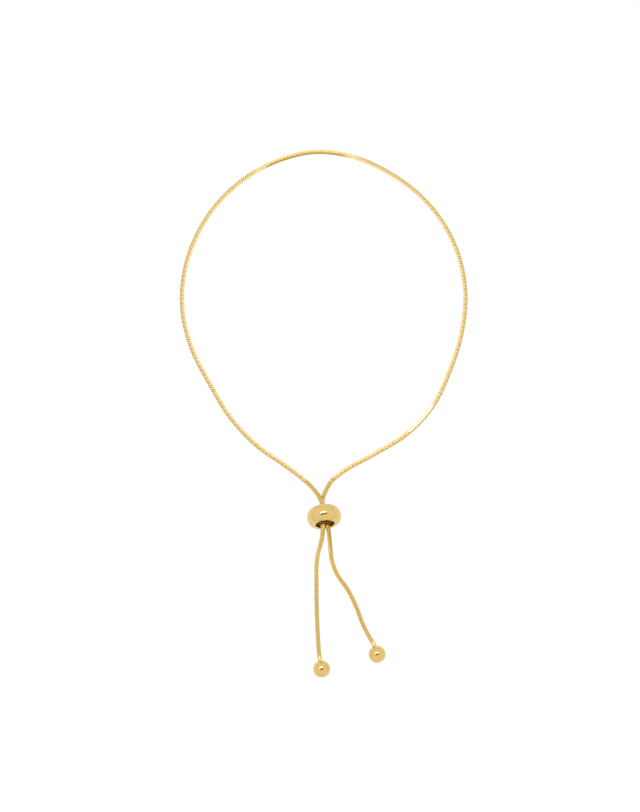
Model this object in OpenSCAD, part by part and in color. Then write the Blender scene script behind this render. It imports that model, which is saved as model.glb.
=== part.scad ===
// Adjustable chain bracelet, in millimetres. One fine snake chain makes the loop, runs twice
// through a hollow slider bead with a rubber grip inside, and ends in two small round beads.
// It lies on a table at Z = 0, with X to the right and Y from its ends to the top of the loop.

/* [Chain] */
// Diameter of the snake chain, across the corners of its eight-sided section
chain_d = 0.9; // [0.7:0.05:1]
// Longest stretch of chain between two cross-sections of its solid
ring_gap = 4.2; // [2.5:0.1:5]

/* [Slider bead] */
// Outside diameter of the slider bead
bead_d = 7.1; // [6.9:0.1:7.4]
// Height of the slider bead along its own axis
bead_h = 3.6; // [3.4:0.1:3.6]
// Height of the straight band round the slider bead's middle
belly_h = 0.4; // [0.2:0.1:0.6]
// Diameter of the hole at each end of the slider bead
hole_d = 3.9; // [3.7:0.1:4.1]
// Thickness of the bead's metal shell
shell_t = 0.35; // [0.25:0.05:0.45]
// Angle that the bead's axis rises from the table, towards the chain's ends
bead_tilt = 28; // [24:1:30]
// Angle that the bead's axis turns towards the right-hand end, seen from above
bead_turn = 7.5; // [5:0.5:10]

/* [Rubber grip] */
// Height of the grip along the bead's axis
grip_h = 2.4; // [1.8:0.1:2.4]
// Clearance round each strand of chain, and between the grip and the shell
fit = 0.03; // [0.02:0.01:0.04]
// Angle of the two strands round the bead's axis where they come in from the loop
turn_in = 82; // [76:1:86]
// Angle of the two strands round the bead's axis where they leave for the ends
turn_out = 38; // [32:1:44]

/* [End beads] */
// Diameter of each end bead
ball_d = 3.6; // [3.2:0.1:4]
// Depth of the blind hole that holds the end of the chain
socket_depth = 1.5; // [1.2:0.1:1.7]
// Angle that the chain drops as it leaves an end bead
neck_drop = 14; // [8:1:18]

/* [Hidden] */

gold = "#dfc07a";
rubber = "#2b1c10";
round_fn = 96;
sides = 8;
chain_r = chain_d / 2;
ball_r = ball_d / 2;
bore_r = chain_r + fit;

// The bead's outline is two arcs of radius arc_r, centred arc_at from its axis, above and below
// the straight band
arc_r = (bead_h - belly_h) / 2;
arc_at = bead_d / 2 - arc_r;
end_h = bead_h / 2;
// The bead rests on its rim, so its height follows from its lean
bead_at = [
    0.06, -21.32, arc_r + arc_at * cos(bead_tilt) + belly_h / 2 * sin(bead_tilt)
];
bead_turned = [90 - bead_tilt, 0, bead_turn];
// Its three directions: across to the right, upwards, and along the axis to the chain's ends
across = [cos(bead_turn), sin(bead_turn), 0];
upward = [-sin(bead_turn) * sin(bead_tilt), cos(bead_turn) * sin(bead_tilt), cos(bead_tilt)];
along = [sin(bead_turn) * cos(bead_tilt), -cos(bead_turn) * cos(bead_tilt), sin(bead_tilt)];
// Distance of the strands from each other at the bead's two ends
strand_gap = 4 / 3 * chain_d;

// Where the end beads lie, and the direction in which each one's chain leaves it
ball_left = [-0.43, -52.92, ball_r];
ball_right = [11.04, -49.89, ball_r];
neck_left = direction(101, -neck_drop);
neck_right = direction(107, -neck_drop);

// The chain's route by hand: X, Y, and how high it is lifted off the table.
// From the left end bead to the slider
tail_left = [
    [-1.02, -49.3, 0.3], [-1.24, -46, 0], [-1.48, -40, 0], [-1.53, -34.5, 0.4],
    [-1.52, -31.7, 1.6], [-1.2, -28.9, 3.25], [-0.7, -27, 4.2], [-0.34, -25.2, 4.55],
];
// Round the loop, from the slider up its left side, over the top and down its right side
loop = [
    [-1, -17.2, 1.35], [-2.2, -15.6, 0.75], [-4.4, -13.55, 0.1], [-7.5, -11.2, 0], [-14, -6.6, 0],
    [-19.5, -0.7, 0], [-23.6, 6, 0], [-27.3, 13.2, 0], [-29.3, 21, 0], [-29, 29, 0],
    [-26.6, 36.5, 0], [-22.4, 43.2, 0], [-16.5, 48.7, 0], [-9, 52.7, 0], [-1.8, 54.3, 0],
    [6, 53.3, 0], [13.3, 50.1, 0], [19.8, 45.4, 0], [24.9, 39.3, 0], [28.2, 32, 0],
    [29.4, 24.2, 0], [28.5, 16.2, 0], [26.1, 8.7, 0], [22.6, 1.5, 0], [17.2, -4.3, 0],
    [10.4, -8.5, 0], [3.5, -12.45, 0], [1.5, -14.2, 0], [0.5, -15.9, 0.05], [0, -17, 0.25],
    [-0.24, -18.15, 0.6],
];
// From the slider to the right end bead
tail_right = [
    [1.1, -25.2, 4], [1.25, -26.9, 3.6], [1.42, -28.6, 2.7], [1.76, -30.8, 1.2],
    [2.76, -33.4, 0.2], [4.95, -36.6, 0], [6.68, -40.05, 0], [8.1, -43.75, 0], [9.45, -46.4, 0.4],
];

// Unit vector at an angle from X seen from above, and at an angle of rise
function direction(turn, rise) = [cos(turn) * cos(rise), sin(turn) * cos(rise), sin(rise)];
function unit(v) = v / norm(v);
// Heights in the route are of the chain's underside, so the centreline is a radius higher
function lifted(points) = [for (p = points) [p.x, p.y, p.z + chain_r]];

// A strand in the bead's own frame, z along its axis: side is -1 for left and 1 for right
function strand_offset(side, turn) = side * strand_gap / 2 * [cos(turn), -sin(turn), 0];
function strand(side, z) =
    let (s = (z + end_h) / bead_h)
    (1 - s) * strand_offset(side, turn_in) + s * strand_offset(side, turn_out) + [0, 0, z];
function placed(p) = bead_at + p.x * across + p.y * upward + p.z * along;
// A strand runs straight through the bead, from a little outside one end to outside the other
function through(side, way) =
    [for (z = [-end_h - 0.2, -grip_h / 2, grip_h / 2, end_h + 0.2]) placed(strand(side, way * z))];

route = concat(
    [ball_left + (ball_r - socket_depth + 0.1) * neck_left, ball_left + (ball_r + 0.1) * neck_left],
    lifted(tail_left), through(-1, -1), lifted(loop), through(1, 1), lifted(tail_right),
    [ball_right + (ball_r + 0.1) * neck_right, ball_right + (ball_r - socket_depth + 0.1) * neck_right]
);

// Direction of the route at point i, weighted towards its nearer neighbour
function heading(i) =
    let (
        last = len(route) - 1,
        before = route[max(i, 1)] - route[max(i, 1) - 1],
        after = route[min(i, last - 1) + 1] - route[min(i, last - 1)],
        b = norm(before), a = norm(after)
    )
    (before / b * a + after / a * b) / (a + b);
// Cubic between points i and i + 1, at t from 0 to 1, with those headings at its ends, and
// never lower than the table lets it be
function between(i, t) =
    let (
        h = norm(route[i + 1] - route[i]), u = 1 - t,
        p = u * u * (1 + 2 * t) * route[i] + t * t * (3 - 2 * t) * route[i + 1]
            + h * t * u * (u * heading(i) - t * heading(i + 1))
    )
    [p.x, p.y, max(p.z, chain_r)];
function steps(i) = max(1, ceil(norm(route[i + 1] - route[i]) / ring_gap));
centreline = concat(
    [for (i = [0 : len(route) - 2]) for (k = [0 : steps(i) - 1]) between(i, k / steps(i))],
    [route[len(route) - 1]]
);

// Corners of the cross-section at ring k, with one corner straight down
function ring(k) =
    let (
        last = len(centreline) - 1,
        ahead = unit(centreline[min(k + 1, last)] - centreline[max(k - 1, 0)]),
        aside = unit(cross(ahead, [0, 0, 1])),
        above = cross(aside, ahead)
    )
    [for (c = [0 : sides - 1])
        let (a = 360 * c / sides) centreline[k] + chain_r * (cos(a) * aside + sin(a) * above)];

module snake_chain() {
    rings = len(centreline);
    color(gold)
    polyhedron(
        points = [for (k = [0 : rings - 1]) each ring(k)],
        faces = concat(
            [[for (c = [sides - 1 : -1 : 0]) c]],
            [for (k = [0 : rings - 2]) for (c = [0 : sides - 1])
                let (a = k * sides + c, b = k * sides + (c + 1) % sides)
                each [[a, b + sides, a + sides], [a, b, b + sides]]],
            [[for (c = [0 : sides - 1]) (rings - 1) * sides + c]]
        )
    );
}

// Puts a thing from the bead's own frame where the bead lies
module lay_bead() {
    translate(bead_at) rotate(bead_turned) children();
}

// The bead's outline drawn with arcs of radius r, and turned round its axis
module round_body(r) {
    rotate_extrude($fn = round_fn) union() {
        translate([arc_at, belly_h / 2]) circle(r = r, $fn = round_fn);
        translate([arc_at, -belly_h / 2]) circle(r = r, $fn = round_fn);
        translate([0, -belly_h / 2]) square([arc_at + r, belly_h]);
    }
}

module slider_bead() {
    color(gold) lay_bead() difference() {
        round_body(arc_r);
        round_body(arc_r - shell_t);
        cylinder(d = hole_d, h = 2 * bead_h, center = true, $fn = round_fn);
    }
}

// Straight bore along one strand, from end to end of the bead
module strand_bore(side) {
    from = strand(side, -end_h);
    way = strand(side, end_h) - from;
    translate(from) rotate([0, acos(way.z / norm(way)), atan2(way.y, way.x)])
        cylinder(r = bore_r, h = norm(way), $fn = round_fn);
}

module slider_grip() {
    color(rubber) lay_bead() difference() {
        intersection() {
            union() {
                round_body(arc_r - shell_t - fit);
                cylinder(r = arc_at, h = grip_h, center = true, $fn = round_fn);
            }
            cylinder(d = bead_d, h = grip_h, center = true, $fn = round_fn);
        }
        strand_bore(-1);
        strand_bore(1);
    }
}

// Round bead with a blind hole along the direction in which its chain leaves
module end_bead(at, neck) {
    color(gold) translate(at) rotate([0, acos(neck.z), atan2(neck.y, neck.x)])
        difference() {
            sphere(r = ball_r, $fn = round_fn);
            translate([0, 0, ball_r - socket_depth])
                cylinder(r = bore_r, h = ball_d, $fn = round_fn);
        }
}

module end_bead_left() { end_bead(ball_left, neck_left); }

module end_bead_right() { end_bead(ball_right, neck_right); }

snake_chain();
slider_bead();
slider_grip();
end_bead_left();
end_bead_right();
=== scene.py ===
# %% [markdown]
# # A slider bracelet of fine snake chain
# The bracelet is one long snake chain. It makes a loop, both its ends run through a hollow slider
# bead with a rubber grip inside, and each end finishes in a small round bead. This notebook
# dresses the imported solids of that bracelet: the solids say where everything lies, and each cell
# below makes one visible piece round them, in the same place and in metres.

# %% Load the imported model
import math

import bmesh
import bpy
import numpy as np
from mathutils import Matrix


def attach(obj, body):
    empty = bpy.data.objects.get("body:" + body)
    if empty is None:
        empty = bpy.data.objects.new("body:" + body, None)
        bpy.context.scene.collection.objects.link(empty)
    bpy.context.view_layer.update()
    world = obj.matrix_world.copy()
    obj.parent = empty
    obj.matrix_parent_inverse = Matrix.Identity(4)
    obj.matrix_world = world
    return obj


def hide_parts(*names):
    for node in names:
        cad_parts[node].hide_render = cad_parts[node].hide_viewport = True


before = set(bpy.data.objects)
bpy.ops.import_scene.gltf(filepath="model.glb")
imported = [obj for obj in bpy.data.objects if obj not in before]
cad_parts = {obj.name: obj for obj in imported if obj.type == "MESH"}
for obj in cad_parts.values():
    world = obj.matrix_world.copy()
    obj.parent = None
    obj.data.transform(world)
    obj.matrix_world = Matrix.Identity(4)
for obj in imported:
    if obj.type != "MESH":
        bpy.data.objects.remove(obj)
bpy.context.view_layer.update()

MM = 0.001
print("solids:", ", ".join(sorted(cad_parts)))

# %% [markdown]
# ## The camera
# A bracelet for a shop page is laid flat and taken from straight above with a long lens. The
# camera therefore looks down the Z axis, turned so that +Y is up in the picture. Its height above
# the chain's middle follows from the lens and from how much of the table the picture takes in.

# %% Stand the camera above the table
LENS, SENSOR = 100.0, 36.0
PICTURE_ROWS, MM_PER_PIXEL = 812, 0.2077
PICTURE_MIDDLE = (-0.79, 1.54)
CHAIN_R = 0.45
picture_height = PICTURE_ROWS * MM_PER_PIXEL
camera_at = np.array([*PICTURE_MIDDLE, CHAIN_R + picture_height * LENS / SENSOR])

camera_data = bpy.data.cameras.new("camera_above")
camera_data.lens, camera_data.sensor_width = LENS, SENSOR
camera_data.clip_start, camera_data.clip_end = 0.05, 20.0
camera = bpy.data.objects.new("camera_above", camera_data)
camera.location = camera_at * MM
bpy.context.scene.collection.objects.link(camera)
bpy.context.scene.camera = camera
print(f"the camera stands {camera_at[2]:.1f} mm above the table")

# %% [markdown]
# ## The route of the chain
# The chain is limp, so its shape is a route, and everything on it is a profile carried along that
# route. The points are the ones of the solid, in millimetres: X, Y and how high the chain's
# underside is lifted off the table. A curve made by hand in Blender would do as well, but a
# formula gives the same line as the solid, and any number of links can be set out on it.

# %% Sizes that the route needs
BEAD_D, BEAD_H, BELLY_H, SHELL = 7.1, 3.6, 0.4, 0.35
HOLE_D = 3.9
GRIP_H, FIT = 2.4, 0.03
BALL_R, SOCKET_DEPTH = 1.8, 1.5
TURN_IN, TURN_OUT = 82.0, 38.0
ARC_R, END_H = (BEAD_H - BELLY_H) / 2, BEAD_H / 2
ARC_AT = BEAD_D / 2 - ARC_R
TILT, TURN = math.radians(28), math.radians(7.5)

bead_at = np.array([0.06, -21.32,
                    ARC_R + ARC_AT * math.cos(TILT) + BELLY_H / 2 * math.sin(TILT)])
bead_axes = np.array([
    [math.cos(TURN), math.sin(TURN), 0],
    [-math.sin(TURN) * math.sin(TILT), math.cos(TURN) * math.sin(TILT), math.cos(TILT)],
    [math.sin(TURN) * math.cos(TILT), -math.cos(TURN) * math.cos(TILT), math.sin(TILT)],
])


def direction(turn, rise):
    """Unit vector at an angle from X seen from above, and at an angle of rise, in degrees."""
    turn, rise = math.radians(turn), math.radians(rise)
    return np.array([math.cos(turn) * math.cos(rise), math.sin(turn) * math.cos(rise),
                     math.sin(rise)])


ball_left, neck_left = np.array([-0.43, -52.92, BALL_R]), direction(101, -14)
ball_right, neck_right = np.array([11.04, -49.89, BALL_R]), direction(107, -14)
print(f"the slider bead's middle is {bead_at[2]:.2f} mm above the table")

# %% The points of the route
tail_left = np.array([
    [-1.02, -49.3, 0.3], [-1.24, -46, 0], [-1.48, -40, 0], [-1.53, -34.5, 0.4],
    [-1.52, -31.7, 1.6], [-1.2, -28.9, 3.25], [-0.7, -27, 4.2], [-0.34, -25.2, 4.55],
])
loop = np.array([
    [-1, -17.2, 1.35], [-2.2, -15.6, 0.75], [-4.4, -13.55, 0.1], [-7.5, -11.2, 0], [-14, -6.6, 0],
    [-19.5, -0.7, 0], [-23.6, 6, 0], [-27.3, 13.2, 0], [-29.3, 21, 0], [-29, 29, 0],
    [-26.6, 36.5, 0], [-22.4, 43.2, 0], [-16.5, 48.7, 0], [-9, 52.7, 0], [-1.8, 54.3, 0],
    [6, 53.3, 0], [13.3, 50.1, 0], [19.8, 45.4, 0], [24.9, 39.3, 0], [28.2, 32, 0],
    [29.4, 24.2, 0], [28.5, 16.2, 0], [26.1, 8.7, 0], [22.6, 1.5, 0], [17.2, -4.3, 0],
    [10.4, -8.5, 0], [3.5, -12.45, 0], [1.5, -14.2, 0], [0.5, -15.9, 0.05], [0, -17, 0.25],
    [-0.24, -18.15, 0.6],
])
tail_right = np.array([
    [1.1, -25.2, 4], [1.25, -26.9, 3.6], [1.42, -28.6, 2.7], [1.76, -30.8, 1.2],
    [2.76, -33.4, 0.2], [4.95, -36.6, 0], [6.68, -40.05, 0], [8.1, -43.75, 0], [9.45, -46.4, 0.4],
])
lift = np.array([0, 0, CHAIN_R])


def strand(side, z):
    """A strand's middle in the bead's own frame, z along its axis. It goes in a straight line
    from one side of the axis at one end of the bead to the other side at the other end."""
    share = ((z + END_H) / BEAD_H)[:, None]
    ends = [side * CHAIN_R * 4 / 3 * np.array([math.cos(turn), -math.sin(turn), 0])
            for turn in (math.radians(TURN_IN), math.radians(TURN_OUT))]
    return (1 - share) * ends[0] + share * ends[1] + z[:, None] * np.array([0, 0, 1])


def in_bead(points):
    """Points of the bead's own frame, as they lie on the table."""
    return bead_at + points @ bead_axes


through = np.array([-END_H - 0.2, -GRIP_H / 2, GRIP_H / 2, END_H + 0.2])
socket_end, mouth = BALL_R - SOCKET_DEPTH + 0.1, BALL_R + 0.1
route = np.vstack([
    ball_left + socket_end * neck_left, ball_left + mouth * neck_left,
    tail_left + lift, in_bead(strand(-1, -through)), loop + lift, in_bead(strand(1, through)),
    tail_right + lift,
    ball_right + mouth * neck_right, ball_right + socket_end * neck_right,
])
print(f"{len(route)} points on the route")

# %% A smooth line through the points


def headings(points):
    """Direction of the route at each point: the mean of the chords before and after it, the
    shorter one weighing more."""
    chord = np.diff(points, axis=0)
    size = np.linalg.norm(chord, axis=1)[:, None]
    before, after = np.vstack([chord[:1], chord]), np.vstack([chord, chord[-1:]])
    b, a = np.vstack([size[:1], size]), np.vstack([size, size[-1:]])
    return (before / b * a + after / a * b) / (a + b)


def smooth_line(points, steps):
    """Cubic between each two points, with the headings at its ends: with t from 0 to 1 and
    u = 1 - t it is u²(1 + 2t) P + t²(3 - 2t) Q + h t u (u H_P - t H_Q), h being the chord."""
    t = np.linspace(0, 1, steps, endpoint=False)[None, :, None]
    u = 1 - t
    p, q = points[:-1, None], points[1:, None]
    turn = headings(points)
    chord = np.linalg.norm(q - p, axis=2, keepdims=True)
    line = (u * u * (1 + 2 * t) * p + t * t * (3 - 2 * t) * q
            + chord * t * u * (u * turn[:-1, None] - t * turn[1:, None]))
    line = np.vstack([line.reshape(-1, 3), points[-1:]])
    line[:, 2] = np.maximum(line[:, 2], CHAIN_R)
    return line


line = smooth_line(route, 60)
line_at = np.concatenate([[0], np.cumsum(np.linalg.norm(np.diff(line, axis=0), axis=1))])
line_ahead = np.gradient(line, line_at, axis=0)
line_ahead /= np.linalg.norm(line_ahead, axis=1)[:, None]
chain_length = line_at[-1]
print(f"the chain is {chain_length:.1f} mm long")

# %% [markdown]
# ## From numbers to meshes
# Every new piece is a grid: rows along a profile, columns round an axis or round the chain. One
# helper turns such a grid of points into a closed mesh, measures its volume to see that its faces
# look outwards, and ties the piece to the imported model.

# %% Carry a profile along the chain


def on_line(table, s):
    """Values of a table along the chain at the distances s, whatever shape s has."""
    return np.stack([np.interp(s, line_at, column) for column in table.T], axis=-1)


def round_chain(s, angle, radius):
    """The point at distance s along the chain, an angle round it and a radius from its middle:
    C(s) + r (cos a · aside + sin a · above). Aside is level and to the right of the way ahead,
    which is the inner side of the loop, and above is square to both."""
    centre, ahead = on_line(line, s), on_line(line_ahead, s)
    aside = np.cross(ahead, [0, 0, 1])
    aside /= np.linalg.norm(aside, axis=-1, keepdims=True)
    ahead = ahead / np.linalg.norm(ahead, axis=-1, keepdims=True)
    above = np.cross(aside, ahead)
    radius = np.asarray(radius)[..., None]
    return centre + radius * (np.cos(angle)[..., None] * aside + np.sin(angle)[..., None] * above)


# %% Number the faces of a grid


def grid_faces(rows, columns, close_rows):
    """Quads of a grid that is closed round its columns, and round its rows too if asked, with
    the same corners in the open grid of the surface's UV map."""
    i = np.arange(rows if close_rows else rows - 1)[:, None]
    j = np.arange(columns)[None, :]
    corners = [(i, j), (i, j + 1), (i + 1, j + 1), (i + 1, j)]
    quads = np.stack([(a % rows) * columns + b % columns for a, b in corners], -1)
    open_quads = np.stack([a * (columns + 1) + b for a, b in corners], -1)
    return quads.reshape(-1, 4), open_quads.reshape(-1, 4)


print("a grid of 3 rows and 8 columns has", len(grid_faces(3, 8, False)[0]), "faces")

# %% Put a mesh in the scene
WELD_M = 1e-8


def weld(mesh):
    """Joins the corners that lie on each other, as all of a pole's do."""
    cleaned = bmesh.new()
    cleaned.from_mesh(mesh)
    bmesh.ops.remove_doubles(cleaned, verts=cleaned.verts, dist=WELD_M)
    cleaned.to_mesh(mesh)
    cleaned.free()


def dress(mesh, node, volume):
    """Puts the mesh in the scene as a piece that stands for one of the solids."""
    piece = bpy.data.objects.new(mesh.name, mesh)
    bpy.context.scene.collection.objects.link(piece)
    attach(piece, "root")
    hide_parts(node)
    low, high = (np.array(corner) / MM for corner in (piece.bound_box[0], piece.bound_box[6]))
    print(f"{mesh.name}: {len(mesh.polygons)} faces, {volume:.1f} mm3, mm from",
          low.round(2), "to", high.round(2))
    return piece


# %% Make a piece of a grid


def add_piece(name, points, close_rows, node, smooth=True, marks=None):
    """Makes a piece of one or many equal grids of points, in millimetres. Its UV map has the
    turn round the piece as U and the millimetres along the profile as V. Marks are values that
    the corners keep for the finish."""
    grids, rows, columns = points.shape[:3]
    quads, open_quads = grid_faces(rows, columns, close_rows)
    first = np.arange(grids)[:, None, None] * rows * columns
    faces = (first + quads[None]).reshape(-1, 4)
    corners = points.reshape(-1, 3)
    a, b, c, d = (corners[faces[:, k]] for k in range(4))
    volume = (np.einsum("ij,ij->", a, np.cross(b, c)) + np.einsum("ij,ij->", a, np.cross(c, d))) / 6
    if volume < 0:
        faces, open_quads = faces[:, ::-1], open_quads[:, ::-1]

    mesh = bpy.data.meshes.new(name)
    mesh.from_pydata((corners * MM).tolist(), [], faces.tolist())
    step = np.linalg.norm(np.diff(points[0], axis=0, append=points[0, :1]), axis=2).max(axis=1)
    v = np.concatenate([[0], np.cumsum(step)])
    u = np.linspace(0, 1, columns + 1)
    flat = np.stack([np.tile(u, rows + 1), np.repeat(v, columns + 1)], -1)
    uv = np.tile(flat[open_quads.ravel()], (grids, 1))
    mesh.uv_layers.new(name="surface").data.foreach_set("uv", uv.ravel())
    for mark, values in (marks or {}).items():
        layer = mesh.attributes.new(mark, "FLOAT", "POINT")
        values = np.broadcast_to(values, points.shape[:3])
        layer.data.foreach_set("value", values.ravel().astype(np.float32))
    mesh.polygons.foreach_set("use_smooth", np.full(len(faces), smooth))
    weld(mesh)
    return dress(mesh, node, abs(volume))


# %% [markdown]
# ## The links
# A snake chain is made of short bands of plate, each a closed ring whose edge snakes a little and
# whose tongue reaches under the next band. A bump on a plain tube would show the marks but not
# the notched outline, and several hundred separate objects would be slow, so all links are one
# mesh: the same small profile at every place along the route. This chain is cut to eight flats
# after it is made, so a link has eight corners and its flats flash like small mirrors.

# %% Set out the links
PITCH, BARE_END, SEED = 0.482, 2.35, 7
links = round((chain_length - 2 * BARE_END) / PITCH)
pitch = (chain_length - 2 * BARE_END) / links
link_at = BARE_END + (np.arange(links) + 0.5) * pitch
rng = np.random.default_rng(SEED)
print(f"{links} links, one every {pitch:.3f} mm")

# %% [markdown]
# ## How the links lie
# A chain is never quite even. Its flats roll a little from link to link, the gaps open on the outer
# side of a bend and close on the inner side, and wider and narrower gaps take turns. Over the top
# of the loop the chain is twisted by half a turn, so there the inner side is the open one. On one
# short stretch it is rolled and pressed together, so that a whole flat flashes white. Near the
# slider and on the free ends the grip has rubbed the links until the gaps are fine and even, but
# where the right strand comes out of the slider they are open on its outer side. All of this is a
# table along the chain, which is quicker to change than links moved by hand.

# %% Find the places where the chain changes


def along_at(x, y):
    """How far along the chain its point nearest to a place on the table is."""
    return line_at[np.argmin(np.hypot(line[:, 0] - x, line[:, 1] - y))]


worn_from, worn_to = along_at(1.9, -13.6), along_at(-3.9, -13.9)
worn = ((link_at > worn_from) | (link_at < worn_to)).astype(float)[:, None]
roll_along = [along_at(x, y) for x, y in ((22.7, 1.8), (22.3, 1.2), (17.8, -3.65), (17.3, -4.1))]
pressed = (link_at > roll_along[1]) & (link_at < roll_along[2])
TWIST_HALF = 2.2
twist_along = [along_at(x, y) + step for x, y in ((-13.3, 50.9), (6.0, 53.3))
               for step in (-TWIST_HALF, TWIST_HALF)]
loose_along = along_at(0.8, -23.2) + np.array([0, 0.2, 4.0, 7.0])
loose = np.interp(link_at, loose_along, [0, 1, 1, 0])[:, None]


def where_twisted(usual, twisted):
    """A value for each link: the usual one, and another one on the twisted stretch."""
    return np.interp(link_at, twist_along, [usual, twisted, twisted, usual])[:, None]


print(f"{int(worn.sum())} links are worn smooth and {int(pressed.sum())} are pressed together")

# %% Roll the flats
EIGHTH = math.tau / 8
ROLL_WOBBLE, CALM_WHERE_PRESSED = 1.2, 0.2
calm = np.where(pressed, CALM_WHERE_PRESSED, 1.0)
link_roll = np.interp(link_at, roll_along, [0, 5.5, 8, 0])
link_roll = link_roll + calm * rng.normal(0, ROLL_WOBBLE, links)
corner = math.tau / 4 + np.arange(8) * EIGHTH
angle = corner[None, :] + np.radians(link_roll)[:, None]
print(f"the flats roll by {link_roll.min():.1f} to {link_roll.max():.1f} degrees")

# %% Open the gaps
GAP_MIDDLE, GAP_WORN, GAP_PRESSED = 0.17, 0.11, 0.03
LOOSE_OPENING, PRESSED_OPENING = 0.09, 0.08
BEND_LIMITS, GAP_LIMITS = (0.04, 0.36), (0.03, 0.38)
UNEVEN, UNEVEN_LIMITS, TAKING_TURNS = 0.12, (0.7, 1.3), 0.4
OUTER_SIDE, INNER_SIDE = 178, 362
open_side = np.radians(where_twisted(OUTER_SIDE, INNER_SIDE))
opening = where_twisted(0.15, 0.27)
towards_open = np.cos(angle - open_side)
gap = np.clip(GAP_MIDDLE + opening * towards_open, *BEND_LIMITS)
gap = np.where(pressed[:, None], GAP_PRESSED + PRESSED_OPENING * (1 + towards_open), gap)
evenness = np.clip(rng.normal(1, UNEVEN, links), *UNEVEN_LIMITS)
evenness = evenness * (1 + calm * TAKING_TURNS * np.where(np.arange(links) % 2, -1, 1))
gap = np.clip(gap * evenness[:, None], *GAP_LIMITS)
gap_worn = GAP_WORN + LOOSE_OPENING * loose * (1 - np.cos(angle))
gap = worn * gap_worn + (1 - worn) * gap
print(f"the gaps between links are {gap.min():.2f} to {gap.max():.2f} mm wide")

# %% [markdown]
# ## The profile of one link
# The gaps take a little off the chain's width to the eye, so the bands stand a few hundredths of
# a millimetre proud of the solid, and less where they are rubbed, and they are lifted by as much
# to lie on the table. The tongue is not far below them: a deep gap would come out black, and real
# gaps are full of the next link's gold. Each link keeps a hair's breadth from the next one.

# %% Draw the profile
BAND_R, BAND_R_WORN, CROWN = 0.487, 0.468, 0.004
TONGUE_DEEP, TONGUE_T = 0.105, 0.05
LINK_REACH, TONGUE_REACH = 0.99, 1.4
band_r = np.where(worn > 0, BAND_R_WORN, BAND_R) + 0 * gap


def link_profile(gap):
    """Distance along the chain and radius of a link's outline, for each link and corner: from
    the bottom of one groove up its bevel, over the slightly crowned band, down the next bevel,
    along the tongue and back inside. A bevel goes down as far as it goes along."""
    half, edge = pitch / 2, gap / 2
    whole, tongue_end = 0 * gap + half * LINK_REACH, 0 * gap + half * TONGUE_REACH
    tongue_r = band_r - TONGUE_DEEP
    groove_r = np.maximum(band_r - CROWN - edge, tongue_r)
    along = [-whole, edge - half, 0 * gap, half - edge, whole, tongue_end, tongue_end]
    radius = [groove_r, band_r - CROWN, band_r, band_r - CROWN, groove_r, tongue_r,
              tongue_r - TONGUE_T]
    return np.stack(along, 1), np.stack(radius, 1)


along, radius = link_profile(gap)
print(f"a link's outline has {along.shape[1]} points at each of {along.shape[2]} corners")

# %% Carry it along the route
SNAKING, LEAN_WOBBLE = 0.12, 0.012
snaking = SNAKING * np.sin(2 * (corner - math.tau / 4))
lean = (calm * rng.normal(0, LEAN_WOBBLE, links))[:, None, None]
lean = lean * np.cos(angle - rng.uniform(0, math.tau, links)[:, None])[:, None, :]
s = link_at[:, None, None] + along + snaking + lean
link_points = round_chain(s, np.broadcast_to(angle[:, None, :], s.shape), radius)
link_points[..., 2] += (band_r - CHAIN_R)[:, None, :]
print(f"the links lie {link_points[..., 2].min():.3f} to {link_points[..., 2].max():.2f} mm high")

# %% [markdown]
# ## Marks for the finish
# The gaps get a deeper gold, which is painted shade. The bands on the open side of a bend, and
# on the outer side of the right strand below the slider, get more of it as painted shade too.
# Such places could be painted as a mask by hand. Here each corner of the links keeps three numbers
# instead: how deep it lies together with how much painted shade it gets, how worn it is and how
# satin. They come from the same tables as the links, so they stay true when a link is moved.

# %% Mark the links
LOOSE_SHADE, LOOSE_FROM, PRESSED_SATIN = 0.9, 0.3, 0.75
profile_depth = np.array([1, 0.3, 0, 0.3, 1, 1, 1])[None, :, None]
# Painted shade: the bands on the open side of a bend, more so on the twisted stretch, and on the
# outer side of the right strand below the slider, take on the gaps' deeper gold.
open_side_painted_shade = where_twisted(0.72, 1.1) * (1 - worn) * np.clip(towards_open, 0, 1)
open_side_painted_shade = open_side_painted_shade + LOOSE_SHADE * loose * np.clip(LOOSE_FROM - np.cos(angle), 0, 1)
link_depth_and_painted_shade = np.maximum(profile_depth, np.minimum(open_side_painted_shade, 1)[:, None, :])
link_marks = {"depth_and_painted_shade": link_depth_and_painted_shade, "worn": worn[:, :, None],
              "satin": PRESSED_SATIN * pressed[:, None, None]}
chain_links = add_piece("snake_chain_links", link_points, True, "snake_chain",
                        smooth=False, marks=link_marks)

# %% [markdown]
# ## The ends of the chain
# Before an end goes into its bead, the last links are filled with solder and polished over, so
# the chain becomes a smooth pin. That pin is a round profile along the same route, from the
# bottom of the bead's hole to just under the first free link. A straight cylinder would be quicker
# to make, but it would leave the chain where the route bends.

# %% Make the two pins
PIN_COLUMNS = 24
pin_outline = np.array([
    [0, 0], [0, 0.40], [0.06, 0.44], [0.4, 0.44], [0.8, 0.44], [1.2, 0.44], [1.6, 0.44],
    [2.0, 0.44], [2.3, 0.43], [2.4, 0.41], [2.46, 0.37], [2.5, 0.33], [2.5, 0],
])


def chain_pin(name, start, way):
    """A smooth pin from a distance along the chain, one way or the other."""
    turn = np.arange(PIN_COLUMNS) / PIN_COLUMNS * math.tau
    along, radius = pin_outline.T[:, :, None] + 0 * turn
    points = round_chain(start + way * along, turn + 0 * along, radius)
    return add_piece(name, points[None], False, "snake_chain",
                     marks={"worn": 1.0, "satin": 1.0})


pin_left = chain_pin("chain_pin_left", 0.0, 1)
pin_right = chain_pin("chain_pin_right", chain_length, -1)

# %% [markdown]
# ## The turned pieces
# The slider bead and the end beads are turned or pressed: each is an outline spun round an axis.
# Blender's Spin tool or a Screw modifier could do it, but with the outline as numbers the corners
# of the holes can be rounded exactly, and the surface knows which way it was polished.

# %% Spin an outline


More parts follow.
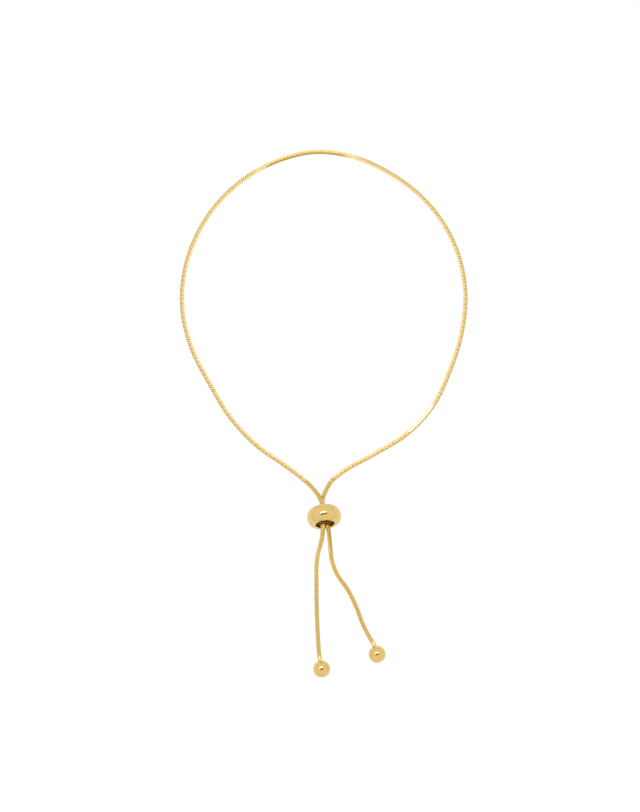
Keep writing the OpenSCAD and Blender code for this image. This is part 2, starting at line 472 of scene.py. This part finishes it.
def arc(radius, centre, start, stop, count):
    """Points of an arc, as distance from the axis and height, from one angle to the other in
    degrees, 0 being straight out from the axis."""
    a = np.radians(np.linspace(start, stop, count))
    return np.stack([centre[0] + radius * np.cos(a), centre[1] + radius * np.sin(a)], -1)


def spin(outline, origin, axes, count):
    """Turns an outline of (distance, height) round the third of three axes at an origin:
    origin + d (cos a · across + sin a · up) + h · axis."""
    a = np.arange(count) / count * math.tau
    distance, height = outline[:, 0, None], outline[:, 1, None]
    local = np.stack([distance * np.cos(a), distance * np.sin(a), height + 0 * a], -1)
    return origin + local @ axes


# %% [markdown]
# ## The slider bead
# The slider is a rondelle pressed from thin brass plate: a hollow ring of round section with a
# wide hole, whose edges are rolled over. The outline therefore runs round the plate itself, over
# the outside, round one lip, back along the inside and round the other lip.

# %% Make the slider bead
FULLNESS, BEAD_COLUMNS = 2.25, 160
LIP_SET_BACK, LIP_START, LIP_STOP = 0.9, 12, 168


def cushion(inset, start, stop, count):
    """Points of the bead's outline, a little squarer than an ellipse, this far inside its skin.
    In each half of it ((d - ARC_AT) / r)^p + (h / H)^p = 1, with p the fullness, so both
    parts are the cosine and sine of an even angle, with their sizes to the power 2 / p."""
    a = np.radians(np.linspace(start, stop, count))
    c, s = (np.sign(w) * np.abs(w) ** (2 / FULLNESS) for w in (np.cos(a), np.sin(a)))
    return np.stack([ARC_AT + (ARC_R - inset) * c, (END_H - inset) * s], -1)


lip_r = SHELL / 2
lip_d = HOLE_D / 2 + lip_r * LIP_SET_BACK
share = (lip_d - ARC_AT) / (ARC_R - lip_r)
lip_angle = math.degrees(math.acos(share ** (FULLNESS / 2)))
lip_h = cushion(lip_r, lip_angle, lip_angle, 1)[0, 1]
bead_outline = np.vstack([
    cushion(0, -lip_angle, lip_angle, 73),
    arc(lip_r, (lip_d, lip_h), lip_angle + LIP_START, lip_angle + LIP_STOP, 14),
    cushion(SHELL, lip_angle, -lip_angle, 37),
    arc(lip_r, (lip_d, -lip_h), 180 - lip_angle + LIP_START, 180 - lip_angle + LIP_STOP, 14),
])
bead_points = spin(bead_outline, bead_at, bead_axes, BEAD_COLUMNS)
slider_bead = add_piece("slider_bead_shell", bead_points[None], True, "slider_bead")

# %% [markdown]
# ## The end beads
# Each end bead is a small solid ball with a blind hole drilled towards its middle. The ball is
# seen from all sides, so it gets many columns, and the drilled edge is rounded by polishing.

# %% Make the end beads
BORE_R = CHAIN_R + FIT
EDGE, CHAMFER, BALL_COLUMNS = 0.07, 0.05, 96
hole_end = BALL_R - SOCKET_DEPTH
edge_angle = math.degrees(math.acos((BORE_R + EDGE) / (BALL_R - EDGE)))
edge_h = (BALL_R - EDGE) * math.sin(math.radians(edge_angle))
ball_outline = np.vstack([
    arc(BALL_R, (0, 0), -90, edge_angle, 64),
    arc(EDGE, (BORE_R + EDGE, edge_h), edge_angle + 10, 180, 8),
    [[BORE_R, hole_end + CHAMFER], [BORE_R - CHAMFER, hole_end], [0, hole_end]],
])
ball_outline[0, 0] = 0


def end_bead(name, at, neck, node):
    """A drilled ball whose hole looks along the neck."""
    across = np.cross(neck, [0, 0, 1])
    across /= np.linalg.norm(across)
    axes = np.array([across, np.cross(neck, across), neck])
    points = spin(ball_outline, at, axes, BALL_COLUMNS)
    return add_piece(name, points[None], False, node)


ball_pieces = [end_bead("end_ball_left", ball_left, neck_left, "end_bead_left"),
               end_bead("end_ball_right", ball_right, neck_right, "end_bead_right")]

# %% [markdown]
# ## The rubber grip
# A ring of dark rubber sits inside the slider bead and pinches both strands, so that the slider
# stays where it is pushed. It is an outline spun like the others, with one hole for each strand.
# Holes that lean are what a Boolean modifier is for: two leaning rods are cut out of the ring, and
# a Bevel modifier then softens their edges, as in moulded rubber.

# %% Draw the grip's outline
grip_r = ARC_R - SHELL - FIT
flat_at = math.degrees(math.asin((GRIP_H - BELLY_H) / 2 / grip_r))
grip_outline = np.vstack([
    [[0, -GRIP_H / 2]], [[ARC_AT, -GRIP_H / 2]],
    arc(grip_r, (ARC_AT, -BELLY_H / 2), -flat_at, 0, 12),
    arc(grip_r, (ARC_AT, BELLY_H / 2), 0, flat_at, 12),
    [[ARC_AT, GRIP_H / 2]], [[0, GRIP_H / 2]],
])
print(f"the grip is {2 * (ARC_AT + grip_r):.2f} mm across and {GRIP_H} mm high")

# %% Make its blank and the two rods
GRIP_COLUMNS, ROD_COLUMNS = 96, 32
rods_z = np.linspace(-END_H, END_H, 5)


def plain_mesh(name, points):
    """A closed mesh of one grid, in millimetres, that isn't a piece."""
    rows, columns = points.shape[:2]
    mesh = bpy.data.meshes.new(name)
    quads, _ = grid_faces(rows, columns, False)
    mesh.from_pydata(points.reshape(-1, 3).tolist(), [], quads.tolist())
    weld(mesh)
    thing = bpy.data.objects.new(name, mesh)
    bpy.context.scene.collection.objects.link(thing)
    whole = bmesh.new()
    whole.from_mesh(mesh)
    bmesh.ops.recalc_face_normals(whole, faces=whole.faces)
    whole.to_mesh(mesh)
    whole.free()
    return thing


def strand_rod(name, side):
    """A rod along one strand, as wide as its hole."""
    middle = in_bead(strand(side, rods_z))
    way = middle[-1] - middle[0]
    way /= np.linalg.norm(way)
    across = np.cross(way, [0, 0, 1])
    across /= np.linalg.norm(across)
    up = np.cross(across, way)
    a = np.arange(ROD_COLUMNS) / ROD_COLUMNS * math.tau
    ring = BORE_R * (np.cos(a)[:, None] * across + np.sin(a)[:, None] * up)
    rows = np.vstack([[middle[0] + 0 * ring], middle[:, None] + ring, [middle[-1] + 0 * ring]])
    return plain_mesh(name, rows)


grip_blank = plain_mesh("grip_blank", spin(grip_outline, bead_at, bead_axes, GRIP_COLUMNS))
rods = [strand_rod("rod_left", -1), strand_rod("rod_right", 1)]
print("each rod has", len(rods[0].data.polygons), "faces")

# %% Cut the holes and soften the edges
SOFT_EDGE, SHARP = 0.05, 50
for rod in rods:
    cut = grip_blank.modifiers.new("hole", "BOOLEAN")
    cut.operation, cut.solver, cut.object = "DIFFERENCE", "EXACT", rod
rounding = grip_blank.modifiers.new("soft_edges", "BEVEL")
rounding.width, rounding.segments, rounding.limit_method = SOFT_EDGE, 2, "ANGLE"
rounding.angle_limit = math.radians(SHARP)
bpy.context.view_layer.update()
cut_grip = grip_blank.evaluated_get(bpy.context.evaluated_depsgraph_get())
grip_mesh = bpy.data.meshes.new_from_object(cut_grip)
grip_mesh.name = "slider_grip_ring"
scratch = bmesh.new()
scratch.from_mesh(grip_mesh)
bmesh.ops.scale(scratch, vec=(MM, MM, MM), verts=scratch.verts)
grip_volume = scratch.calc_volume(signed=True) / MM**3
scratch.to_mesh(grip_mesh)
scratch.free()
for thing in [grip_blank, *rods]:
    bpy.data.objects.remove(thing)
slider_grip = dress(grip_mesh, "slider_grip", grip_volume)

# %% [markdown]
# ## Shader maths as formulas
# A finish is a small net of nodes. Written as formulas it is easier to read and to change: the
# class below wraps one socket, its operators add Math nodes, and one method adds any other node.

# %% Wrap a socket


class Wire:
    """One output socket of a node tree. +, - and * with wires or numbers add Math nodes."""

    def __init__(self, tree, socket=None):
        self.tree, self.socket = tree, socket

    def node(self, kind, settings, inputs, output=0):
        """Adds a node of this kind, sets its settings, then fills its inputs with values or
        wires, and gives the wire of one of its outputs."""
        made = self.tree.nodes.new(kind)
        for setting, value in settings.items():
            setattr(made, setting, value)
        for place, value in inputs.items():
            if isinstance(value, Wire):
                self.tree.links.new(value.socket, made.inputs[place])
            else:
                made.inputs[place].default_value = value
        return Wire(self.tree, made.outputs[output])

    def maths(self, operation, *values):
        """A Math node on these values."""
        return self.node("ShaderNodeMath", {"operation": operation}, dict(enumerate(values)))

    def __add__(self, other):
        return self.maths("ADD", self, other)

    def __sub__(self, other):
        return self.maths("SUBTRACT", self, other)

    def __rsub__(self, other):
        return self.maths("SUBTRACT", other, self)

    def __mul__(self, other):
        return self.maths("MULTIPLY", self, other)

    __radd__, __rmul__ = __add__, __mul__

    def mix(self, first, second):
        """Between two colours, by this wire from 0 to 1."""
        return self.node("ShaderNodeMix", {"data_type": "RGBA"}, {0: self, 6: first, 7: second}, 2)

    def part(self, which):
        """One of the three numbers of a place: 0, 1 or 2."""
        return self.node("ShaderNodeSeparateXYZ", {}, {0: self}, which)

    def noise(self, scale, detail=2.0):
        """Soft noise from 0 to 1 at this place, with this many patches to a unit."""
        return self.node("ShaderNodeTexNoise", {"noise_dimensions": "3D"},
                         {"Vector": self, "Scale": scale, "Detail": detail})

    def between(self, low, high):
        """0 below low, 1 above high, and smooth in between."""
        return self.node("ShaderNodeMapRange", {"interpolation_type": "SMOOTHSTEP"},
                         {0: self, 1: low, 2: high})


# %% Start a finish


def srgb(red, green, blue):
    """A colour picked in a paint program, 0 to 255, as the linear numbers that a shader needs."""
    c = np.array([red, green, blue]) / 255
    linear = np.where(c <= 0.04045, c / 12.92, ((c + 0.055) / 1.055) ** 2.4)
    return (*(float(x) for x in linear), 1.0)


def finish_of(name):
    """A new material: its tree as a Wire, and its shader node."""
    material = bpy.data.materials.new(name)
    material.use_nodes = True
    tree = material.node_tree
    return material, Wire(tree), tree.nodes["Principled BSDF"]


def feed(value, shader, socket):
    """Links a wire to one of the shader's sockets."""
    value.tree.links.new(value.socket, shader.inputs[socket])


def mark_of(tree, name):
    """A value that the corners of a piece keep."""
    return tree.node("ShaderNodeAttribute", {"attribute_name": name}, {}, "Fac")


print("a picked mid grey of 128 is", round(srgb(128, 128, 128)[0], 3), "in linear light")

# %% [markdown]
# ## Gold of the beads
# The beads are brass with a pale gold plating, polished bright. Real polish is never quite even:
# the plating is a shade deeper in places, and the buffing leaves hair-fine lines round the piece.
# The lines come from the UV map, whose U goes round each turned piece. Noise on that flat map
# would end in a seam, so the map is rolled up into a tube first.

# %% Polished gold
bead_gold, tree, shader = finish_of("polished_pale_gold")
LINE_SPREAD, LINE_CLOSE = 0.6, 14
uv = tree.node("ShaderNodeUVMap", {"uv_map": "surface"}, {})
u, v = uv.part(0), uv.part(1)
turn = u * math.tau
round_way = tree.node("ShaderNodeCombineXYZ", {}, {
    0: turn.maths("COSINE", turn) * LINE_SPREAD, 1: turn.maths("SINE", turn) * LINE_SPREAD,
    2: v * LINE_CLOSE})
lines = round_way.noise(1.6, 3.0)
place = tree.node("ShaderNodeTexCoord", {}, {}, "Object")
clouds = place.noise(900.0)
feed(clouds.mix(srgb(228, 197, 130), srgb(221, 189, 119)), shader, "Base Color")
feed(0.05 + 0.05 * lines + 0.04 * clouds, shader, "Roughness")
shader.inputs["Metallic"].default_value = 1.0
slider_bead.data.materials.append(bead_gold)
for ball in ball_pieces:
    ball.data.materials.append(bead_gold)
print("polished gold:", len(bead_gold.node_tree.nodes), "nodes")

# %% [markdown]
# ## Gold of the chain
# The chain has the same plating. Its flats get a paler gold than the beads, a painted highlight
# for the sheen of their small facets. Polish doesn't reach into the gaps between the links, so
# they are rougher, and their deeper, duller gold is painted shade. On the stretches that the grip
# has rubbed the flats keep the beads' gold, with no painted highlight, and the soldered pins and
# the pressed stretch are satin. Depth with painted shade, wear and satin were kept with the
# corners of the links, and they drive these changes.

# %% Chain gold
chain_gold, tree, shader = finish_of("snake_chain_gold")
depth_and_painted_shade = mark_of(tree, "depth_and_painted_shade").between(0.05, 0.95)
rubbed, satin = mark_of(tree, "worn"), mark_of(tree, "satin")
place = tree.node("ShaderNodeTexCoord", {}, {}, "Object")
wear = place.noise(2200.0).between(0.36, 0.64)
# Painted highlight: the flats' gold is paler than the beads' gold, for the sheen of their facets.
flat_gold_with_painted_sheen = wear.mix(srgb(255, 238, 182), srgb(250, 224, 160))
dulled = wear.mix(srgb(228, 197, 128), srgb(220, 188, 116))
# Painted shade: the deeper, duller gold in the gaps between links and on the open side of bends.
gap_painted_shade_gold = rubbed.mix(srgb(198, 154, 36), srgb(196, 156, 48))
feed(depth_and_painted_shade.mix(rubbed.mix(flat_gold_with_painted_sheen, dulled), gap_painted_shade_gold), shader, "Base Color")
feed(0.06 + 0.05 * wear + 0.45 * depth_and_painted_shade + 0.24 * satin, shader, "Roughness")
shader.inputs["Metallic"].default_value = 1.0
for piece in (chain_links, pin_left, pin_right):
    piece.data.materials.append(chain_gold)
print("chain gold:", len(chain_gold.node_tree.nodes), "nodes")

# %% [markdown]
# ## Rubber
# Moulded rubber is dull and faintly grainy, with lighter dust in patches. It shows only through
# the bead's two holes, so noise at two scales does for it, and a fine bump gives the grain.

# %% Dark rubber
rubber, tree, shader = finish_of("dark_grip_rubber")
place = tree.node("ShaderNodeTexCoord", {}, {}, "Object")
grain = place.noise(9000.0, 3.0)
dust = place.noise(1500.0).between(0.45, 0.75)
feed(dust.mix(srgb(118, 80, 0), srgb(176, 130, 6)), shader, "Base Color")
feed(0.55 + 0.2 * grain, shader, "Roughness")
shader.inputs["Specular IOR Level"].default_value = 0.05
skin = grain.node("ShaderNodeBump", {}, {"Strength": 0.3, "Distance": 0.03 * MM, "Height": grain})
feed(skin, shader, "Normal")
slider_grip.data.materials.clear()
slider_grip.data.materials.append(rubber)
print("rubber:", len(rubber.node_tree.nodes), "nodes")

# %% [markdown]
# ## The table
# The table is a sheet of matt white acrylic lit from below, as for a shop page, so that it comes
# out white right up to the chain. A plain white floor would be grey in the chain's shade, so this
# one glows by itself. It isn't part of the bracelet.

# %% Lay the table
TABLE_SIZE = 3.0
table_mesh = bpy.data.meshes.new("white_table")
half = TABLE_SIZE / 2
table_mesh.from_pydata([(-half, -half, 0), (half, -half, 0), (half, half, 0), (-half, half, 0)],
                       [], [(0, 1, 2, 3)])
table = bpy.data.objects.new("white_table", table_mesh)
table.location.z = -0.01 * MM
bpy.context.scene.collection.objects.link(table)
acrylic, _, shader = finish_of("white_acrylic")
shader.inputs["Base Color"].default_value = (0.08, 0.08, 0.08, 1)
shader.inputs["Roughness"].default_value = 0.8
shader.inputs["Specular IOR Level"].default_value = 0.1
shader.inputs["Emission Color"].default_value = (1, 1, 1, 1)
shader.inputs["Emission Strength"].default_value = 0.97
table_mesh.materials.append(acrylic)
print("the table is", TABLE_SIZE, "m wide")

# %% [markdown]
# ## The light
# Polished metal shows its surroundings, so the light is what gives it its shape. The bracelet lies
# in a white light tent, which is the world: even and pale. Towards the top of the picture a long
# softbox makes the narrow white bars on the beads. Straight above is the opening for the camera,
# a small warm-dark patch without which the beads would look like flat paper.

# %% Hang the light tent
world = bpy.data.worlds.new("light_tent")
world.use_nodes = True
bpy.context.scene.world = world
tent = Wire(world.node_tree)
way = tent.node("ShaderNodeTexCoord", {}, {}, "Generated")
x, y, z = (way.part(k) for k in range(3))
PATCH_LEAN, PATCH_WIDE, PATCH_HIGH, PATCH_SOFT, PATCH_ROLL = 6.7, 22.0, 12.0, 2.5, 22.0
PATCH_COLOUR = (0.42, 0.27, 0.0, 1.0)
WALL_FOOT, WALL, WALL_RISE = (0.86, 0.83, 0.76, 1.0), (1.03, 1.03, 1.03, 1.0), 0.30
across, up = x.maths("ARCTAN2", x, z), y.maths("ARCTAN2", y, z) - math.radians(PATCH_LEAN)
roll = math.radians(PATCH_ROLL)
u, v = across * math.cos(roll) + up * math.sin(roll), up * math.cos(roll) - across * math.sin(roll)


def within(turn, half):
    """1 where a turn from the patch's middle is less than half its size, with a soft edge."""
    inner, outer = math.radians(half - PATCH_SOFT), math.radians(half + PATCH_SOFT)
    return 1 - turn.maths("ABSOLUTE", turn).between(inner, outer)


patch = within(u, PATCH_WIDE) * within(v, PATCH_HIGH)
sky = patch.mix(z.between(0.0, WALL_RISE).mix(WALL_FOOT, WALL), PATCH_COLOUR)
background = world.node_tree.nodes["Background"]
feed(sky, background, "Color")
background.inputs["Strength"].default_value = 1.0
print("the tent's dark opening is", 2 * PATCH_WIDE, "by", 2 * PATCH_HIGH, "degrees")

# %% Hang the softbox
BOX_AWAY, BOX_WIDE, BOX_HIGH, BOX_BRIGHT = 3.0, 20.0, 4.5, 6.0
BOX_LEAN, BOX_ASIDE, BOX_ROLL = (math.radians(a) for a in (28.0, -7.3, 13.0))
box_size = [2 * BOX_AWAY * math.tan(math.radians(a)) for a in (BOX_WIDE, BOX_HIGH)]
box_data = bpy.data.lights.new("softbox", "AREA")
box_data.shape, box_data.size, box_data.size_y = "RECTANGLE", *box_size
box_data.energy = BOX_BRIGHT * math.pi * box_size[0] * box_size[1]
outward = np.array([math.tan(BOX_ASIDE), math.tan(BOX_LEAN), 1.0])
outward /= np.linalg.norm(outward)
level = np.array([1.0, 0, 0]) - outward[0] * outward
level /= np.linalg.norm(level)
rising = np.cross(outward, level)
turned = [math.cos(BOX_ROLL) * level + math.sin(BOX_ROLL) * rising,
          math.cos(BOX_ROLL) * rising - math.sin(BOX_ROLL) * level, outward]
softbox = bpy.data.objects.new("softbox", box_data)
softbox.location = BOX_AWAY * outward
softbox.rotation_euler = Matrix(np.array(turned).T.tolist()).to_euler()
bpy.context.scene.collection.objects.link(softbox)
print(f"the softbox is {box_size[0]:.2f} by {box_size[1]:.2f} m and gives {box_data.energy:.0f} W")

# %% [markdown]
# ## Colours as they are
# The picture is judged against a plain product photo, so the colours are shown as they are, with
# no film look.

# %% Show the colours as they are
bpy.context.scene.view_settings.view_transform = "Standard"
bpy.context.view_layer.update()
